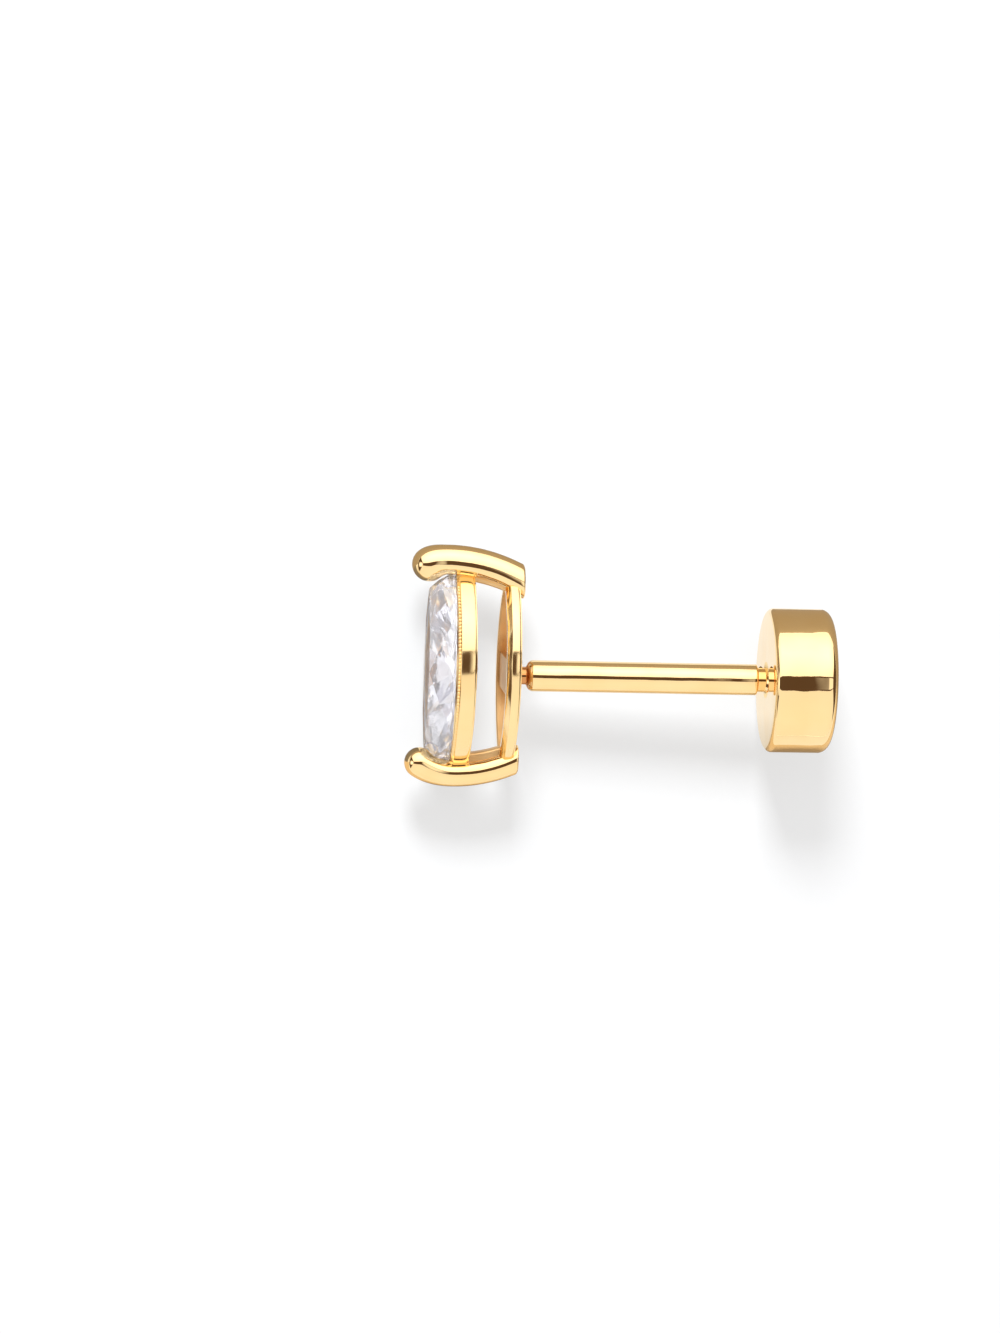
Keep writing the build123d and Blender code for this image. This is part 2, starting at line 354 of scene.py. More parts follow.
def mixed(tree, factor, low, high):
    """A mix of two colours; a colour left out is linked by the caller"""
    tone = tree.nodes.new("ShaderNodeMix")
    tone.data_type = "RGBA"
    for socket, value in (("A", low), ("B", high)):
        if value is not None:
            tone.inputs[socket].default_value = (*value, 1)
    tree.links.new(factor, tone.inputs["Factor"])
    return tone


def bump(tree, height, distance):
    """A bump whose highest points stand distance above its lowest"""
    node = tree.nodes.new("ShaderNodeBump")
    node.inputs["Distance"].default_value = distance
    node.inputs["Strength"].default_value = 1.0
    tree.links.new(height, node.inputs["Height"])
    return node


def painted_joint_shade(tree):
    """Mask of painted shade: 1 at the soldered joint of the basket and the post, 0 a little way from it"""
    place = tree.nodes.new("ShaderNodeTexCoord")
    reach = tree.nodes.new("ShaderNodeVectorMath")
    reach.operation = "DISTANCE"
    reach.inputs[1].default_value = POST_FOOT
    tree.links.new(place.outputs["Object"], reach.inputs[0])
    return ramp_between(tree, reach.outputs["Value"], low=JOINT_SHADE_CORE, high=JOINT_SHADE_EDGE, at_low=1, at_high=0)


def build_polished_gold(tree):
    finish = bpy.context.scene.stud_finish
    build_gold(tree, (finish.gold, finish.deep_gold), (finish.polish, finish.haze), SWELL, SCRATCH)


def build_hand_polished_gold(tree):
    finish = bpy.context.scene.stud_finish
    roughness = (finish.rail_polish, finish.rail_polish * RAIL_HAZE)
    build_gold(tree, (finish.gold, finish.deep_gold), roughness, SWELL, SCRATCH)


def build_cast_gold(tree):
    finish = bpy.context.scene.stud_finish
    roughness = (finish.cast, finish.cast * CAST_HAZE)
    build_gold(tree, (finish.cast_gold, finish.brown_gold), roughness, CAST_SWELL, CAST_GRAIN)


def polished_gold():
    return material_of("polished_gold_finish", build_polished_gold)


def hand_polished_gold():
    return material_of("hand_polished_gold_finish", build_hand_polished_gold)


def cast_gold():
    return material_of("cast_gold_finish", build_cast_gold)


def build_stone(tree):
    """Clear stone with a slight milkiness and a polish that varies a little"""
    finish = bpy.context.scene.stud_finish
    shader = tree.nodes["Principled BSDF"]
    shader.inputs["Transmission Weight"].default_value = 0.88
    shader.inputs["IOR"].default_value = finish.stone_index
    shader.inputs["Base Color"].default_value = (*finish.stone, 1)
    polish = noise_in_millimetres(tree, scale=6, detail=3)
    roughness = ramp_between(tree, polish.outputs["Fac"], low=0.4, high=0.8, at_low=0.0, at_high=0.02)
    tree.links.new(roughness, shader.inputs["Roughness"])


def clear_stone():
    return material_of("clear_stone_finish", build_stone)


# The basket's rails. The stone's girdle lies on a shelf cut into the front one, which slopes in under the
# stone, and the shelf's wall stands SEAT_PLAY clear of the girdle. UNPOLISHED_BEVEL is the share of the bevel
# that the wheel doesn't reach.
SEAT_DROP = 0.04 * MM
SEAT_SLOPE = 0.66
SEAT_PLAY = 0.02 * MM
CROWN = 0.035 * MM
CROWN_STEPS = 8
ROUND_STEPS = 5
RAIL_STEPS = 72
UNPOLISHED_BEVEL = 0.9


def marquise_tip_angle(half_width, radius):
    """How far an arc turns from its belly to the point where it meets its mirror image"""
    return asin(sqrt(radius**2 - (radius - half_width) ** 2) / radius)


def rail_section(basket, back, depth, outer, seat):
    """A rail's section as (station, distance from its arc's centre); seat is where the stone's girdle lies"""
    front, inner = back - depth, outer - basket.wall
    ridge = outer - basket.bevel
    corners = [(back, outer, basket.worn_edge), (front + basket.bevel, outer, basket.rounding)]
    if seat is None:
        corners.append((front, ridge, basket.rounding / 4))
        corners.append((front, inner, basket.rounding))
    else:
        cut_back = max(0, seat - ridge)
        shelf = front + max(SEAT_DROP, cut_back + SEAT_DROP / 4)
        corners.append((front + cut_back, max(ridge, seat), 0))
        corners.append((shelf, seat, 0))
        corners.append((shelf + SEAT_SLOPE * (seat - inner), inner, 0))
    corners.append((back, inner, basket.rounding))
    return rounded(corners, ROUND_STEPS)


def crowned(section, middle, outer):
    """Splits a rail's flat outer face and lowers it towards both edges, as polishing does"""
    points = []
    for n, here in enumerate(section):
        after = section[(n + 1) % len(section)]
        points.append(here)
        if min(here.y, after.y) > outer - CROWN / 10:
            points += [here.lerp(after, step / CROWN_STEPS) for step in range(1, CROWN_STEPS)]
    half = max(abs(point.x - middle) for point in points)
    return [(p.x, p.y - (CROWN * ((p.x - middle) / half) ** 2 if p.y > outer - CROWN else 0)) for p in points]


def rail_finishes(basket, section, front, seated):
    """Gives finish 1 to the sides that the wheel doesn't reach: the inner wall and the beaded bevel"""
    inner = basket.outer_radius - basket.wall + basket.rounding
    finishes = {}
    for n, (place, reach) in enumerate(section):
        next_place, next_reach = section[(n + 1) % len(section)]
        within = max(reach, next_reach) < inner + TOLERANCE
        in_bevel = seated and max(place, next_place) < front + basket.bevel * UNPOLISHED_BEVEL
        if within or in_bevel:
            finishes[n] = 1
    return finishes


def marquise_rail(name, back, depth, width, seated):
    """A marquise rail of two arcs, with a shelf for the stone where it is seated"""
    basket = bpy.context.scene.stud_basket
    outer = basket.outer_radius
    centre_drop = outer - width / 2
    middle_radius = outer - basket.wall / 2
    tip = marquise_tip_angle((width - basket.wall) / 2, middle_radius)
    stone_radius = basket.stone_radius + SEAT_PLAY
    stone_drop = basket.stone_radius - basket.stone_width / 2 - centre_drop
    mesh = bmesh.new()
    for side in (1, -1):
        rings = []
        for step in range(RAIL_STEPS + 1):
            turn = tip * (2 * step / RAIL_STEPS - 1)
            seat = None
            if seated:
                seat = sqrt(stone_radius**2 - (stone_drop * sin(turn)) ** 2) - stone_drop * cos(turn)
            ring = []
            section = crowned(rail_section(basket, back, depth, outer, seat), back - depth / 2, outer)
            for place, reach in section:
                across = reach * sin(turn)
                up = side * (reach * cos(turn) - centre_drop)
                ring.append(stud_point(BASKET_FOOT, place, across, up))
            rings.append(ring)
        skin(mesh, rings, finishes=rail_finishes(basket, section, back - depth, seated))
    return finish_piece(mesh, name, STUD_BODY, (hand_polished_gold(), cast_gold()))


def rail_bar():
    """The bar across the back rail, which the post is soldered to"""
    basket = bpy.context.scene.stud_basket
    back = basket.rear_back - basket.bar_recess
    front = back - basket.bar_thickness
    half_width, half_span = basket.bar_width / 2, (basket.rear_width - basket.wall) / 2
    corners = [(across, place, basket.rounding) for across, place in (
        (-half_width, front), (half_width, front), (half_width, back), (-half_width, back)
    )]
    section = rounded(corners, ROUND_STEPS)
    mesh = bmesh.new()
    rings = [[stud_point(POST_FOOT, place, across, up) for across, place in section]
             for up in (-half_span, half_span)]
    skin(mesh, rings)
    return finish_piece(mesh, "rail_bar", STUD_BODY, [cast_gold()])


class STUD_OT_rails(bpy.types.Operator):
    """Makes the two marquise rails and the bar across the back one"""

    bl_idname = "stud.rails"
    bl_label = "Rails"

    def execute(self, context):
        basket = context.scene.stud_basket
        marquise_rail("front_rail", basket.front_back, basket.front_depth, basket.front_width, True)
        marquise_rail("back_rail", basket.rear_back, basket.rear_depth, basket.rear_width, False)
        rail_bar()
        return {"FINISHED"}


# The prongs. A prong's rings turn from square to the post to square to the wire over TURNING_RADII of the
# wire. Where the ridge is moved inward, the outer side keeps its place, and the inner side moves by the same
# less RIDGE_DRAW of it.
PRONG_SEGMENTS = 64
PRONG_STEPS = 40
BALL_STEPS = 24
EDGE_STEPS = 6
TURNING_RADII = 3
RIDGE_DRAW = 0.4
WEB_ROUND = 0.08 * MM
WEB_STEPS = 16


def bow(run, drop):
    """The radius of an arc that falls by drop over a run"""
    return (run**2 + drop**2) / (2 * drop)


def prong_path(side, crest_at, crest, root, tip_at, tip):
    """Points of a prong's middle line from root to tip, each with its heading and its share of the swell"""
    row = []
    root_radius = bow(-crest_at, crest - root)
    root_turn = asin(-crest_at / root_radius)
    tip_radius = bow(crest_at - tip_at, crest - tip)
    tip_turn = asin((crest_at - tip_at) / tip_radius)
    for step in range(PRONG_STEPS):
        turn = root_turn * (1 - step / PRONG_STEPS)
        place = crest_at + root_radius * sin(turn)
        across = crest - root_radius * (1 - cos(turn))
        row.append((place, side * across, (-cos(turn), side * sin(turn)), 0))
    for step in range(PRONG_STEPS + 1):
        turn = tip_turn * step / PRONG_STEPS
        place = crest_at - tip_radius * sin(turn)
        across = crest - tip_radius * (1 - cos(turn))
        row.append((place, side * across, (-cos(turn), -side * sin(turn)), step / PRONG_STEPS))
    return row


def prong_ring(place, across, heading, radius, lean=0.0, sink=0.0):
    """A ring square to the wire, or, as lean nears 1, square to the post. Sink moves its ridge inward"""
    ring = []
    for n in range(PRONG_SEGMENTS):
        turn = 2 * pi * n / PRONG_SEGMENTS
        up = (radius + sink / 2) * sin(turn)
        reach = radius + (sink if cos(turn) < 0 else -RIDGE_DRAW * sink)
        sideways = sink + reach * cos(turn)
        slide = lean * heading[1] * sideways / heading[0]
        ring.append(stud_point(
            BASKET_FOOT,
            place - heading[1] * sideways + heading[0] * slide,
            across + heading[0] * sideways + heading[1] * slide,
            up,
        ))
    return ring


def prong(name, side, crest_at, crest, tip_at, tip, ball, sink=0.0):
    """A bowed prong: its rounded cut end, its wire, which swells into the ball, and the web inside it"""
    sizes = bpy.context.scene.stud_prong
    path = prong_path(side, crest_at, crest, sizes.root, tip_at, tip)
    wire, ball = sizes.wire / 2, ball / 2
    rings = []
    _, start_across, start_heading, _ = path[0]
    slope = start_heading[1] / start_heading[0]
    for step in range(EDGE_STEPS + 1):
        turn = pi / 2 * step / EDGE_STEPS
        radius = wire - sizes.end_round * (1 - sin(turn))
        place = -sizes.end_round * (1 - cos(turn))
        rings.append(prong_ring(place, start_across + slope * place, start_heading, radius, 1, sink))
    for place, across, heading, share in path:
        if place > -sizes.end_round - wire / EDGE_STEPS:
            continue
        lean = max(0, 1 + place / (TURNING_RADII * wire))
        swell = (3 - 2 * share) * share**2
        radius = (1 - swell) * wire + swell * ball
        upright = (3 - 2 * lean) * lean**2
        rings.append(prong_ring(place, across, heading, radius, upright, sink * (1 - swell)))
    end_place, end_across, end_heading, _ = path[-1]
    for step in range(1, BALL_STEPS):
        turn = pi / 2 * step / BALL_STEPS
        place = end_place + end_heading[0] * ball * sin(turn)
        across = end_across + end_heading[1] * ball * sin(turn)
        rings.append(prong_ring(place, across, end_heading, ball * cos(turn)))
    mesh = bmesh.new()
    skin(mesh, rings)
    prong_web(mesh, side, crest_at, crest)
    return finish_piece(mesh, name, STUD_BODY, (polished_gold(), cast_gold()))


def prong_web(mesh, side, crest_at, crest):
    """The thin web that joins the rails along the inside of a prong"""
    sizes, basket = bpy.context.scene.stud_prong, bpy.context.scene.stud_basket
    radius = bow(-crest_at, crest - sizes.root)
    inset = sizes.wire / 2 + sizes.web_depth
    ends = (basket.rear_back - basket.bevel, basket.front_back - basket.front_depth + basket.bevel)
    half = sizes.web_thickness / 2
    rings = []
    for step in range(WEB_STEPS + 1):
        place = ends[0] + (ends[1] - ends[0]) * step / WEB_STEPS
        outer = crest - radius + sqrt(radius**2 - (place - crest_at) ** 2)
        inner = outer - inset
        corners = [(outer, -half, 0), (outer, half, 0), (inner, half, WEB_ROUND), (inner, -half, WEB_ROUND)]
        section = rounded(corners, ROUND_STEPS)
        rings.append([stud_point(BASKET_FOOT, place, side * across, up) for across, up in section])
    skin(mesh, rings, finishes={n: 1 for n in range(len(section))})


class STUD_OT_prongs(bpy.types.Operator):
    """Makes the two prongs, each with its ball tip and the thin web inside it"""

    bl_idname = "stud.prongs"
    bl_label = "Prongs"

    def execute(self, context):
        sizes = context.scene.stud_prong
        prong("upper_prong", 1, sizes.upper_crest_at, sizes.upper_crest, sizes.upper_tip_at, sizes.upper_tip,
              sizes.upper_ball, sizes.upper_sink)
        prong("lower_prong", -1, sizes.lower_crest_at, sizes.lower_crest, sizes.lower_tip_at, sizes.lower_tip,
              sizes.lower_ball)
        return {"FINISHED"}


# The post and the nut
NECK_FILLET = 0.06 * MM
GROOVE_FILLET = 0.03 * MM
TIP_ROUND = 0.12 * MM
HOLE_EDGE_ROUND = 0.02 * MM
POST_SEGMENTS = 96
POST_ROUND_STEPS = 10
NUT_SEGMENTS = 160
NUT_ROUND_STEPS = 12


class STUD_OT_post(bpy.types.Operator):
    """Turns the post, from its neck in the bar to the core of its thread"""

    bl_idname = "stud.post"
    bl_label = "Post"

    def execute(self, context):
        sizes, basket = context.scene.stud_post, context.scene.stud_basket
        shank, neck, groove = sizes.diameter / 2, sizes.neck / 2, sizes.groove / 2
        start = basket.rear_back - basket.bar_recess - basket.bar_thickness / 2
        corners = [
            (start, 0, 0),
            (start, neck, 0),
            (sizes.neck_end, neck, NECK_FILLET),
            (sizes.neck_end, shank, sizes.nose_round),
            (sizes.shank_end, shank, sizes.shank_round),
            (sizes.shank_end, groove, GROOVE_FILLET),
            (sizes.thread_end, groove, TIP_ROUND),
            (sizes.thread_end, 0, 0),
        ]
        mesh = bmesh.new()
        turned(mesh, POST_FOOT, rounded(corners, POST_ROUND_STEPS), POST_SEGMENTS)
        finish_piece(mesh, "ear_post", STUD_BODY, [polished_gold()])
        return {"FINISHED"}


class STUD_OT_nut(bpy.types.Operator):
    """Turns the thick round nut with its blind hole"""

    bl_idname = "stud.nut"
    bl_label = "Nut"

    def execute(self, context):
        sizes = context.scene.stud_post
        rim, bore = sizes.nut_diameter / 2, sizes.bore / 2
        front, back = sizes.nut_front, sizes.nut_front + sizes.nut_thickness
        floor = front + sizes.bore_depth
        corners = [
            (floor, 0, 0),
            (floor, bore, 0),
            (front + sizes.countersink, bore, HOLE_EDGE_ROUND),
            (front, bore + sizes.countersink, HOLE_EDGE_ROUND),
            (front, rim, sizes.nut_front_round),
            (back, rim, sizes.nut_back_round),
            (back, 0, 0),
        ]
        mesh = bmesh.new()
        turned(mesh, POST_FOOT, rounded(corners, NUT_ROUND_STEPS), NUT_SEGMENTS)
        finish_piece(mesh, "screw_back_nut", NUT_BODY, [polished_gold()])
        return {"FINISHED"}


# Geometry Nodes: a tree is built from named inputs, run once, and its result kept as a plain mesh.
# The section of a thread's ridge is scaled along the post by RIDGE_SHARE of the pitch. The post's thread
# starts THREAD_LEAD_IN of the pitch past the shank. The beads cover BEADED_SHARE of the lip's arc.
RIDGE_SHARE = 0.42
THREAD_LEAD_IN = 0.4
BEADED_SHARE = 0.86


def geometry_tree(name, inputs):
    """An empty tree with named inputs and a geometry output"""
    tree = bpy.data.node_groups.new(name, "GeometryNodeTree")
    tree.interface.new_socket("Geometry", in_out="OUTPUT", socket_type="NodeSocketGeometry")
    for label, kind in inputs:
        tree.interface.new_socket(label, in_out="INPUT", socket_type=kind)
    return tree, tree.nodes.new("NodeGroupInput"), tree.nodes.new("NodeGroupOutput")


def baked_piece(name, tree, values, body, crease=CREASE):
    """Runs a tree on an empty mesh and keeps what it makes as one plain piece"""
    carrier = bpy.data.objects.new(name + "_carrier", bpy.data.meshes.new(name + "_carrier"))
    bpy.context.scene.collection.objects.link(carrier)
    modifier = carrier.modifiers.new(name, "NODES")
    modifier.node_group = tree
    for item in tree.interface.items_tree:
        if item.item_type == "SOCKET" and item.in_out == "INPUT":
            modifier[item.identifier] = values[item.name]
    bpy.context.view_layer.update()
    evaluated = carrier.evaluated_get(bpy.context.evaluated_depsgraph_get())
    data = bpy.data.meshes.new_from_object(evaluated)
    carrier.modifiers.remove(modifier)
    bpy.data.objects.remove(carrier)
    if not data.polygons:
        raise RuntimeError(f"{name} came out empty")
    data.materials.clear()
    dress(data, [polished_gold()], crease)
    piece = bpy.data.objects.new(name, data)
    bpy.context.scene.collection.objects.link(piece)
    return attach(piece, body)


def helix_tree(name):
    """A ridge that winds about local Z: a three-cornered section swept along a spiral"""
    tree, given, result = geometry_tree(name, (
        ("Radius", "NodeSocketFloat"),
        ("Height", "NodeSocketFloat"),
        ("Turns", "NodeSocketFloat"),
        ("Tooth", "NodeSocketFloat"),
        ("Base", "NodeSocketFloat"),
        ("Foot", "NodeSocketVector"),
        ("Turn", "NodeSocketRotation"),
        ("Finish", "NodeSocketMaterial"),
    ))
    new, link = tree.nodes.new, tree.links.new
    spiral = new("GeometryNodeCurveSpiral")
    spiral.inputs["Resolution"].default_value = 40
    for socket in ("Start Radius", "End Radius"):
        link(given.outputs["Radius"], spiral.inputs[socket])
    link(given.outputs["Height"], spiral.inputs["Height"])
    link(given.outputs["Turns"], spiral.inputs["Rotations"])
    upright = new("GeometryNodeSetCurveNormal")
    upright.mode = "Z_UP"
    link(spiral.outputs["Curve"], upright.inputs["Curve"])
    section = new("GeometryNodeCurvePrimitiveCircle")
    section.inputs["Resolution"].default_value = 3
    section.inputs["Radius"].default_value = 1.0
    shape = new("GeometryNodeTransform")
    scale = new("ShaderNodeCombineXYZ")
    link(given.outputs["Tooth"], scale.inputs["X"])
    link(given.outputs["Base"], scale.inputs["Y"])
    link(section.outputs["Curve"], shape.inputs["Geometry"])
    link(scale.outputs["Vector"], shape.inputs["Scale"])
    swept = new("GeometryNodeCurveToMesh")
    swept.inputs["Fill Caps"].default_value = True
    link(upright.outputs["Curve"], swept.inputs["Curve"])
    link(shape.outputs["Geometry"], swept.inputs["Profile Curve"])
    place = new("GeometryNodeTransform")
    link(swept.outputs["Mesh"], place.inputs["Geometry"])
    link(given.outputs["Foot"], place.inputs["Translation"])
    link(given.outputs["Turn"], place.inputs["Rotation"])
    finish_tree(tree, place.outputs["Geometry"], given, result)
    return tree


def finish_tree(tree, geometry, given, result):
    """Ends a tree: its instances are made real and wear the given finish"""
    real = tree.nodes.new("GeometryNodeRealizeInstances")
    wear = tree.nodes.new("GeometryNodeSetMaterial")
    tree.links.new(geometry, real.inputs["Geometry"])
    tree.links.new(real.outputs["Geometry"], wear.inputs["Geometry"])
    tree.links.new(given.outputs["Finish"], wear.inputs["Material"])
    tree.links.new(wear.outputs["Geometry"], result.inputs["Geometry"])


def bead_tree(name):
    """A row of small beads on an arc through three points"""
    tree, given, result = geometry_tree(name, (
        ("Start", "NodeSocketVector"),
        ("Middle", "NodeSocketVector"),
        ("End", "NodeSocketVector"),
        ("Pitch", "NodeSocketFloat"),
        ("Bead Radius", "NodeSocketFloat"),
        ("Finish", "NodeSocketMaterial"),
    ))
    new, link = tree.nodes.new, tree.links.new
    arc = new("GeometryNodeCurveArc")
    arc.mode = "POINTS"
    arc.inputs["Resolution"].default_value = 128
    for socket in ("Start", "Middle", "End"):
        link(given.outputs[socket], arc.inputs[socket])
    row = new("GeometryNodeCurveToPoints")
    row.mode = "LENGTH"
    link(arc.outputs["Curve"], row.inputs["Curve"])
    link(given.outputs["Pitch"], row.inputs["Length"])
    bead = new("GeometryNodeMeshIcoSphere")
    bead.inputs["Subdivisions"].default_value = 2
    link(given.outputs["Bead Radius"], bead.inputs["Radius"])
    placed = new("GeometryNodeInstanceOnPoints")
    link(row.outputs["Points"], placed.inputs["Points"])
    link(bead.outputs["Mesh"], placed.inputs["Instance"])
    finish_tree(tree, placed.outputs["Instances"], given, result)
    return tree


def post_rotation():
    """The turn that takes local Z onto the post's axis"""
    return Matrix((ACROSS, UPWARD, ALONG)).transposed().to_euler()


class STUD_OT_threads(bpy.types.Operator):
    """Winds the thread of the post and the matching one in the nut"""

    bl_idname = "stud.threads"
    bl_label = "Threads"

    def execute(self, context):
        sizes = context.scene.stud_post
        tree = helix_tree("stud_helix")
        depth = (sizes.crest - sizes.groove) / 2
        start = sizes.shank_end + sizes.pitch * THREAD_LEAD_IN
        run = sizes.thread_end - start - sizes.pitch
        common = {"Base": sizes.pitch * RIDGE_SHARE, "Turn": post_rotation(), "Finish": polished_gold()}
        baked_piece("post_thread", tree, {
            **common, "Radius": sizes.groove / 2, "Height": run, "Turns": run / sizes.pitch,
            "Tooth": -depth, "Foot": POST_FOOT + ALONG * start,
        }, STUD_BODY)
        inside = sizes.nut_front + sizes.countersink + sizes.pitch / 2
        depth_run = sizes.bore_depth - sizes.countersink - sizes.pitch
        baked_piece("nut_thread", tree, {
            **common, "Radius": sizes.bore / 2, "Height": depth_run, "Turns": depth_run / sizes.pitch,
            "Tooth": depth, "Foot": POST_FOOT + ALONG * inside,
        }, NUT_BODY)
        return {"FINISHED"}


class STUD_OT_beads(bpy.types.Operator):
    """Sets a row of fine beads along each side of the front rail's lip"""

    bl_idname = "stud.beads"
    bl_label = "Beads"

    def execute(self, context):
        basket = context.scene.stud_basket
        tree = bead_tree("stud_beads")
        drop = basket.outer_radius - basket.front_width / 2
        reach = basket.outer_radius - basket.bead / 2 - basket.rounding / 4
        place = basket.front_back - basket.front_depth + basket.bevel - basket.bead / 2
        end = marquise_tip_angle((basket.front_width - basket.wall) / 2, basket.outer_radius) * BEADED_SHARE
        for name, side in (("upper_lip_beads", 1), ("lower_lip_beads", -1)):
            points = [stud_point(BASKET_FOOT, place, reach * sin(turn), side * (reach * cos(turn) - drop))
                      for turn in (-end, 0, end)]
            baked_piece(name, tree, {
                "Start": points[0], "Middle": points[1], "End": points[2], "Pitch": basket.bead_pitch,
                "Bead Radius": basket.bead / 2, "Finish": polished_gold(),
            }, STUD_BODY, crease=ALL_SMOOTH)
        return {"FINISHED"}


class STUD_OT_stone(bpy.types.Operator):
    """Gives the cut stone its clear finish"""

    bl_idname = "stud.stone"
    bl_label = "Stone"

    def execute(self, context):
        data = frame["nodes"]["stone"].data
        data.materials.clear()
        data.materials.append(clear_stone())
        return {"FINISHED"}


# The stage
CAMERA_DISTANCE = 250 * MM
CAMERA_YAW = radians(10.15)
CAMERA_TILT = radians(9.0)
CAMERA_ROLL = radians(2.15)
PIXELS_A_METRE = 32 / MM
PHOTO_SIZE = (1000, 1333)
FOOT_IN_PHOTO = (520.6, 675.5)
SENSOR = 36.0

# Lights and tones. Lengths are in metres, and FADE_REACH is in sides of the light: that far from its middle,
# it is down to the share of light that its corners give.
LIGHT_DISTANCE = 0.40
LIGHT_BREADTH = 1.0
FADE_REACH = 0.6
ROOM_TONE = (0.115, 0.07, 0.045)
ROOM_TONE_THROUGH_STONE = (0.64, 0.645, 0.72)
BACKDROP_TONE = (0.9, 0.9, 0.9)
FLOOR_TONES = ((0.155, 0.16, 0.165), (0.165, 0.17, 0.175))
FLOOR_GLOW = 0.62
FLOOR_REACH = 1.2
FLOOR_DEPTH = 0.005 * MM

# Low cards beside the stud, which only reflections see: name, one corner, the other corner, tone
BROWN_CARD = (0.165, 0.135, 0.10)
TAN_CARD = (0.35, 0.28, 0.19)
DARK_CARD = (0.10, 0.09, 0.08)
CARD_HEIGHT = 0.02 * MM
CARDS = (
    ("far_card", (-0.10, 0.0024), (0.10, 0.10), BROWN_CARD),
    ("near_card", (-0.10, -0.0090), (0.10, -0.0032), TAN_CARD),
    ("left_card", (-0.012, -0.0032), (-0.00608, 0.0024), DARK_CARD),
    ("right_card", (0.0069, -0.0032), (0.10, 0.0024), BROWN_CARD),
)


def photo_camera():
    """Sets the camera at the photo's angle, with the post's foot where the photo has it"""
    level = cos(CAMERA_TILT)
    to_camera = Vector((-sin(CAMERA_YAW) * level, sin(CAMERA_TILT), cos(CAMERA_YAW) * level))
    right = Vector((cos(CAMERA_YAW), 0, sin(CAMERA_YAW)))
    up = to_camera.cross(right)
    roll = Matrix.Rotation(CAMERA_ROLL, 3, to_camera)
    right, up = roll @ right, roll @ up
    off_centre = Vector((PHOTO_SIZE[0] / 2 - FOOT_IN_PHOTO[0], FOOT_IN_PHOTO[1] - PHOTO_SIZE[1] / 2))
    aim = POST_FOOT + (right * off_centre.x + up * off_centre.y) / PIXELS_A_METRE
    data = bpy.data.cameras.new("photo_camera")
    data.sensor_width = SENSOR
    data.lens = SENSOR * CAMERA_DISTANCE * PIXELS_A_METRE / max(PHOTO_SIZE)
    data.clip_start, data.clip_end = CAMERA_DISTANCE / 50, CAMERA_DISTANCE * 50
    camera = bpy.data.objects.new("photo_camera", data)
    turn = Matrix((right, up, to_camera)).transposed().to_4x4()
    camera.matrix_world = Matrix.Translation(aim + to_camera * CAMERA_DISTANCE) @ turn
    bpy.context.scene.collection.objects.link(camera)
    bpy.context.scene.camera = camera


def lamp_between(name, radiance, one, other, side, low, high):
    """A flat light from the line through one to the line through other, each along side from low to high.
    The camera doesn't see it."""
    chord = other - one
    data = bpy.data.lights.new(name, "AREA")
    data.shape = "RECTANGLE"
    data.size = high - low
    data.size_y = chord.length
    data.energy = radiance * pi * data.size * data.size_y
    middle = (one + other) / 2 + side * (low + high) / 2
    lamp = bpy.data.objects.new(name, data)
    away = side.cross(chord).normalized()
    if away.dot((one + other) / 2) < 0:
        away = -away
    turn = Matrix((side, away.cross(side), away)).transposed()
    lamp.matrix_world = Matrix.Translation(middle) @ turn.to_4x4()
    lamp.visible_camera = False
    bpy.context.scene.collection.objects.link(lamp)
    data.use_nodes = True
    return lamp


def arc_point(degrees):
    """A point at the lights' distance, at an angle from straight up, leaning towards +Y"""
    angle = radians(degrees)
    return Vector((0, LIGHT_DISTANCE * sin(angle), LIGHT_DISTANCE * cos(angle)))


def softbox(name, radiance, first, last, edge_share):
    """A light between two angles, whose corners give edge_share of the light of its middle"""
    ends = arc_point(first), arc_point(last)
    lamp = lamp_between(name, radiance, *ends, Vector((1, 0, 0)), -LIGHT_BREADTH / 2, LIGHT_BREADTH / 2)
    return fade_to_corners(lamp, edge_share)


def fade_to_corners(lamp, edge_share):
    """Dims a light towards its corners, which give edge_share of the light of its middle"""
    tree = lamp.data.node_tree
    face = tree.nodes.new("ShaderNodeNewGeometry")
    middle = tree.nodes.new("ShaderNodeVectorMath")
    middle.operation = "DISTANCE"
    middle.inputs[1].default_value = (0.5, 0.5, 0)
    tree.links.new(face.outputs["Parametric"], middle.inputs[0])
    fall = ramp_between(tree, middle.outputs["Value"], low=0, high=FADE_REACH, at_low=1, at_high=edge_share)
    tree.links.new(fall, tree.nodes["Emission"].inputs["Strength"])
    return lamp


def fading_light(name, radiance, first, last, low, full, high):
    """A light between two angles, from low to high along X, that grows from nothing to its whole at full"""
    ends = arc_point(first), arc_point(last)
    tree = lamp_between(name, radiance, *ends, Vector((1, 0, 0)), low, high).data.node_tree
    face = tree.nodes.new("ShaderNodeNewGeometry")
    across = tree.nodes.new("ShaderNodeSeparateXYZ")
    tree.links.new(face.outputs["Parametric"], across.inputs["Vector"])
    growth = ramp_between(tree, across.outputs["X"], 0, (full - low) / (high - low), 0, 1)
    tree.links.new(growth, tree.nodes["Emission"].inputs["Strength"])


def shadow_light(towards, size, radiance_share, albedo):
    """A soft square light that gives the floor its faint shadow and doesn't show in reflections.
    A floor of that albedo sends back radiance_share of it."""
    towards = towards.normalized()
    data = bpy.data.lights.new("shadow_light", "AREA")
    data.size = size
    data.energy = radiance_share / albedo * pi**2 * LIGHT_DISTANCE**2 / towards.z
    lamp = bpy.data.objects.new("shadow_light", data)
    turn = towards.to_track_quat("Z", "Y").to_matrix()
    lamp.matrix_world = Matrix.Translation(towards * LIGHT_DISTANCE) @ turn.to_4x4()
    lamp.visible_camera = lamp.visible_glossy = lamp.visible_transmission = False
    bpy.context.scene.collection.objects.link(lamp)


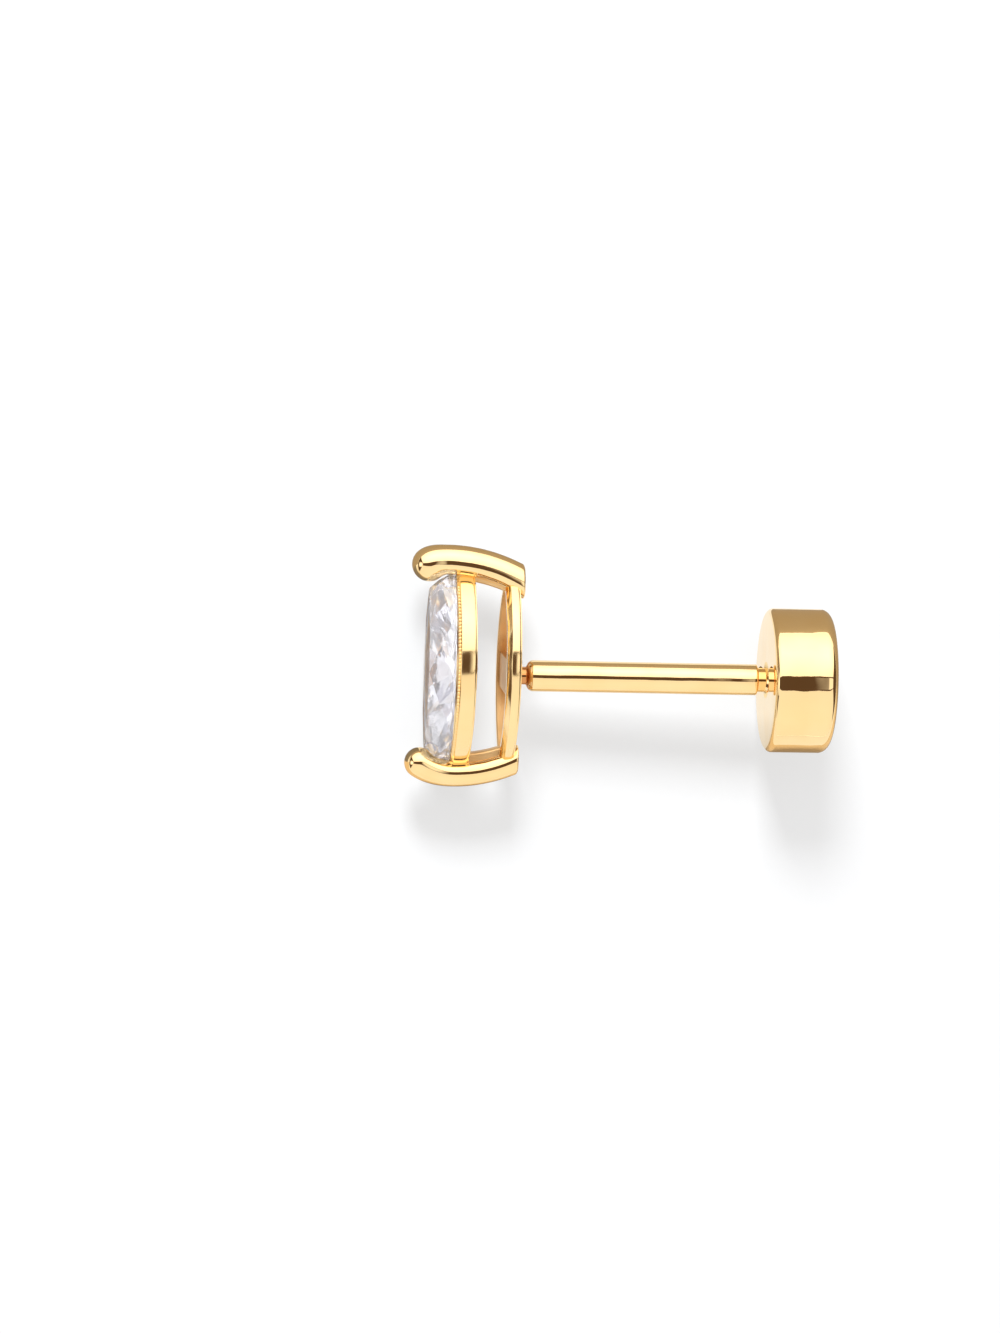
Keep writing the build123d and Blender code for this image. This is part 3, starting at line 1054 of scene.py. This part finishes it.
def studio_lights():
    """Two broad lights, a third in the gap between them, one to the left, and one for the shadow"""
    far = softbox("far_light", radiance=2.15, first=16, last=90, edge_share=0.60)
    far.visible_transmission = False
    softbox("near_light", radiance=1.03, first=-7, last=-92, edge_share=0.93)
    fading_light("gap_light", radiance=1.1, first=-5, last=14, low=0.055, full=0.12, high=0.50)
    left_ends = Vector((-0.40, 0, 0.05)), Vector((-0.34, 0, 0.25))
    left = lamp_between("left_light", 2.2, *left_ends, ACROSS, low=-0.10, high=0.10)
    fade_to_corners(left, edge_share=0.15)
    shadow_light(Vector((-0.18, 0.75, 0.60)), size=0.10, radiance_share=0.24, albedo=0.16)


def studio_world():
    """A dim brown room for reflections, a pale one through the stone, and a pale backdrop for the camera"""
    world = bpy.data.worlds.new("studio")
    world.use_nodes = True
    tree = world.node_tree
    seen = tree.nodes.new("ShaderNodeLightPath")
    inside = mixed(tree, seen.outputs["Is Transmission Ray"], ROOM_TONE, ROOM_TONE_THROUGH_STONE)
    tone = mixed(tree, seen.outputs["Is Camera Ray"], None, BACKDROP_TONE)
    tree.links.new(inside.outputs["Result"], tone.inputs["A"])
    tree.links.new(tone.outputs["Result"], tree.nodes["Background"].inputs["Color"])
    bpy.context.scene.world = world


def build_floor(tree):
    """Pale paper that gives a little light of its own"""
    shader = tree.nodes["Principled BSDF"]
    shader.inputs["Roughness"].default_value = 0.6
    shader.inputs["Specular IOR Level"].default_value = 0.1
    fibre = noise_in_millimetres(tree, scale=4, detail=3)
    tone = mixed(tree, fibre.outputs["Fac"], *FLOOR_TONES)
    tree.links.new(tone.outputs["Result"], shader.inputs["Base Color"])
    shader.inputs["Emission Color"].default_value = (1, 1, 1, 1)
    shader.inputs["Emission Strength"].default_value = FLOOR_GLOW


def card_finish(name, tone):
    """A dull finish of one tone for a card"""
    def build(tree):
        shader = tree.nodes["Principled BSDF"]
        shader.inputs["Base Color"].default_value = (*tone, 1)
        shader.inputs["Roughness"].default_value = 0.9
    return material_of(name, build)


def sheet_of(name, low, high, height, material):
    """A flat sheet of the stage between two corners"""
    corners = [(low[0], low[1]), (high[0], low[1]), (high[0], high[1]), (low[0], high[1])]
    data = bpy.data.meshes.new(name)
    data.from_pydata([(x, y, height) for x, y in corners], [], [(0, 1, 2, 3)])
    data.materials.append(material)
    made = bpy.data.objects.new(name, data)
    bpy.context.scene.collection.objects.link(made)
    return made


def floor_and_cards():
    reach = FLOOR_REACH
    sheet_of("floor", (-reach, -reach), (reach, reach), -FLOOR_DEPTH, material_of("pale_floor", build_floor))
    for name, low, high, tone in CARDS:
        card = sheet_of(name, low, high, CARD_HEIGHT, card_finish(name, tone))
        card.visible_camera = card.visible_diffuse = card.visible_shadow = card.visible_transmission = False


class STUD_OT_stage(bpy.types.Operator):
    """Lays the pale floor and its cards, and sets the studio lights, the backdrop and the camera"""

    bl_idname = "stud.stage"
    bl_label = "Stage"

    def execute(self, context):
        floor_and_cards()
        studio_lights()
        studio_world()
        scene = context.scene
        scene.view_settings.view_transform = "Standard"
        scene.cycles.max_bounces = 24
        scene.cycles.glossy_bounces = 16
        scene.cycles.transmission_bounces = 24
        photo_camera()
        return {"FINISHED"}


class STUD_PT_panel(bpy.types.Panel):
    """Lists the steps that build the stud"""

    bl_idname = "STUD_PT_panel"
    bl_label = "Screw back stud"
    bl_space_type = "VIEW_3D"
    bl_region_type = "UI"
    bl_category = "Stud"

    def draw(self, context):
        for step in STEPS:
            self.layout.operator(step.bl_idname)


STEPS = (
    STUD_OT_rails, STUD_OT_beads, STUD_OT_prongs, STUD_OT_post, STUD_OT_nut, STUD_OT_threads, STUD_OT_stone,
    STUD_OT_stage,
)
CLASSES = (*SIZE_GROUPS.values(), *STEPS, STUD_PT_panel)


def register():
    for cls in CLASSES:
        bpy.utils.register_class(cls)
    for name, group in SIZE_GROUPS.items():
        setattr(bpy.types.Scene, name, bpy.props.PointerProperty(type=group))


def unregister():
    for name in SIZE_GROUPS:
        delattr(bpy.types.Scene, name)
    for cls in reversed(CLASSES):
        bpy.utils.unregister_class(cls)


def main():
    register()
    bpy.ops.stud.rails()
    bpy.ops.stud.beads()
    bpy.ops.stud.prongs()
    bpy.ops.stud.post()
    bpy.ops.stud.nut()
    bpy.ops.stud.threads()
    bpy.ops.stud.stone()
    bpy.ops.stud.stage()


if __name__ == "__main__":
    main()
